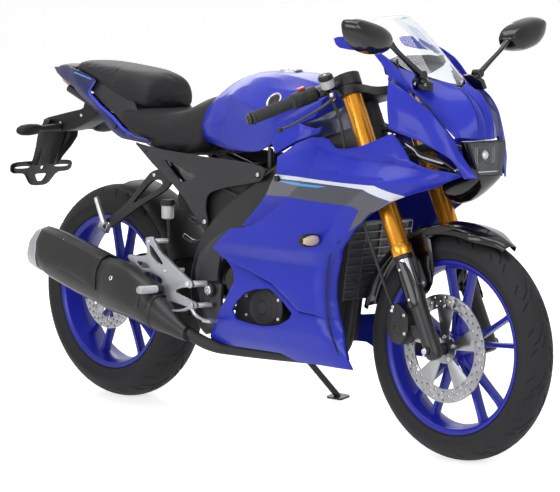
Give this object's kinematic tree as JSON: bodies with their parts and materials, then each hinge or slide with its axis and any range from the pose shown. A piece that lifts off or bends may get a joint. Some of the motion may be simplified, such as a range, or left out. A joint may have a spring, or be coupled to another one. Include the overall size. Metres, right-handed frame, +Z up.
{
  "type": "faired sport motorcycle",
  "caption": "Faired sport motorcycle leaning on its side stand, with inverted fork, clip-on bars, split-spoke wheels and raised tail.",
  "frame": {"origin": "middle of the whole machine's box, on the floor", "axes": "+X forward, +Y to the rider's left, +Z up from the floor; the machine leans to +Y on its stand"},
  "size_m": [2.0684, 0.7764, 1.1957],
  "materials": {
    "tread_rubber": "matte",
    "rim_paint": "gloss",
    "disc_steel": "satin",
    "gold_fork": "satin",
    "chrome": "polished",
    "black_metal": "satin",
    "grip_rubber": "matte",
    "black_plastic": "matte",
    "gloss_black": "gloss",
    "body_colour": "metallic gloss",
    "grey_plastic": "satin",
    "seat_cover": "grained",
    "lamp_glass": "clear",
    "clear_screen": "clear",
    "red_lens": "gloss",
    "engine_metal": "cast",
    "radiator_metal": "satin",
    "steel_pipe": "satin",
    "cast_alloy": "satin"
  },
  "bodies": {
    "chassis": {"fairing_right": "body_colour", "fairing_left": "body_colour", "lower_cowls": "body_colour", "side_covers": "grey_plastic", "tail_cowls": "body_colour", "fuel_tank": "body_colour", "rider_seat": "seat_cover", "pillion_seat": "seat_cover", "nose_cowl": "body_colour", "headlamp": "lamp_glass", "windscreen": "clear_screen", "chin_cowl": "gloss_black", "nose_wings": "body_colour", "tank_wings": "body_colour", "inner_cowls": "black_plastic", "engine_covers": "black_metal", "radiator": "radiator_metal", "instrument_panel": "black_plastic", "side_mirrors": "gloss_black", "frame": "black_metal", "subframe": "black_metal", "engine_block": "engine_metal", "muffler": "black_metal", "exhaust_header": "steel_pipe", "swingarm": "black_metal", "drive_chain": "steel_pipe", "front_signals": "lamp_glass", "rear_signals": "gloss_black", "plate_holder": "black_plastic", "plate_bracket": "black_plastic", "tail_lamp": "red_lens", "footrests": "cast_alloy", "pillion_footrests": "black_metal", "foot_controls": "cast_alloy", "rear_reservoir": "black_plastic", "rear_caliper": "black_metal", "rear_shock": "black_metal"},
    "steering": {"fork_tubes": "gold_fork", "fork_stanchions": "chrome", "fork_feet": "black_metal", "front_caliper": "black_metal", "triple_clamp": "black_metal", "handlebars": "black_metal", "grips": "grip_rubber", "control_levers": "black_metal", "switch_housings": "black_plastic", "front_fender": "gloss_black", "front_brake_hose": "grip_rubber"},
    "wheel_front": {"tyre_front": "tread_rubber", "rim_front": "rim_paint", "disc_front": "disc_steel"},
    "wheel_rear": {"tyre_rear": "tread_rubber", "rim_rear": "rim_paint", "disc_rear": "disc_steel", "sprocket_rear": "disc_steel"},
    "side_stand": {"side_stand": "black_metal"},
    "fuel_cap": {"fuel_cap": "black_metal"}
  },
  "joints": [
    {"name": "steering", "type": "hinge", "parent": "chassis", "child": "steering", "pos_m": [0.46529, -0.04855, 0.74421], "axis": [-0.4305, 0.1567, 0.8889], "range_deg": [-33, 33]},
    {"name": "front_wheel_spin", "type": "hinge", "parent": "steering", "child": "wheel_front", "pos_m": [0.73718, -0.128, 0.29365], "axis": [0, 0.9848, -0.1736], "continuous": true},
    {"name": "rear_wheel_spin", "type": "hinge", "parent": "chassis", "child": "wheel_rear", "pos_m": [-0.60782, -0.12487, 0.31137], "axis": [0, 0.9848, -0.1736], "continuous": true},
    {"name": "side_stand_fold", "type": "hinge", "parent": "chassis", "child": "side_stand", "pos_m": [-0.04782, -0.01057, 0.211], "axis": [-0.1781, 0.9828, -0.0494], "range_deg": [0, 112]},
    {"name": "fuel_cap_lid", "type": "hinge", "parent": "chassis", "child": "fuel_cap", "pos_m": [0.12493, -0.00761, 0.97641], "axis": [0, 0.9848, -0.1736], "range_deg": [0, 100]}
  ]
}
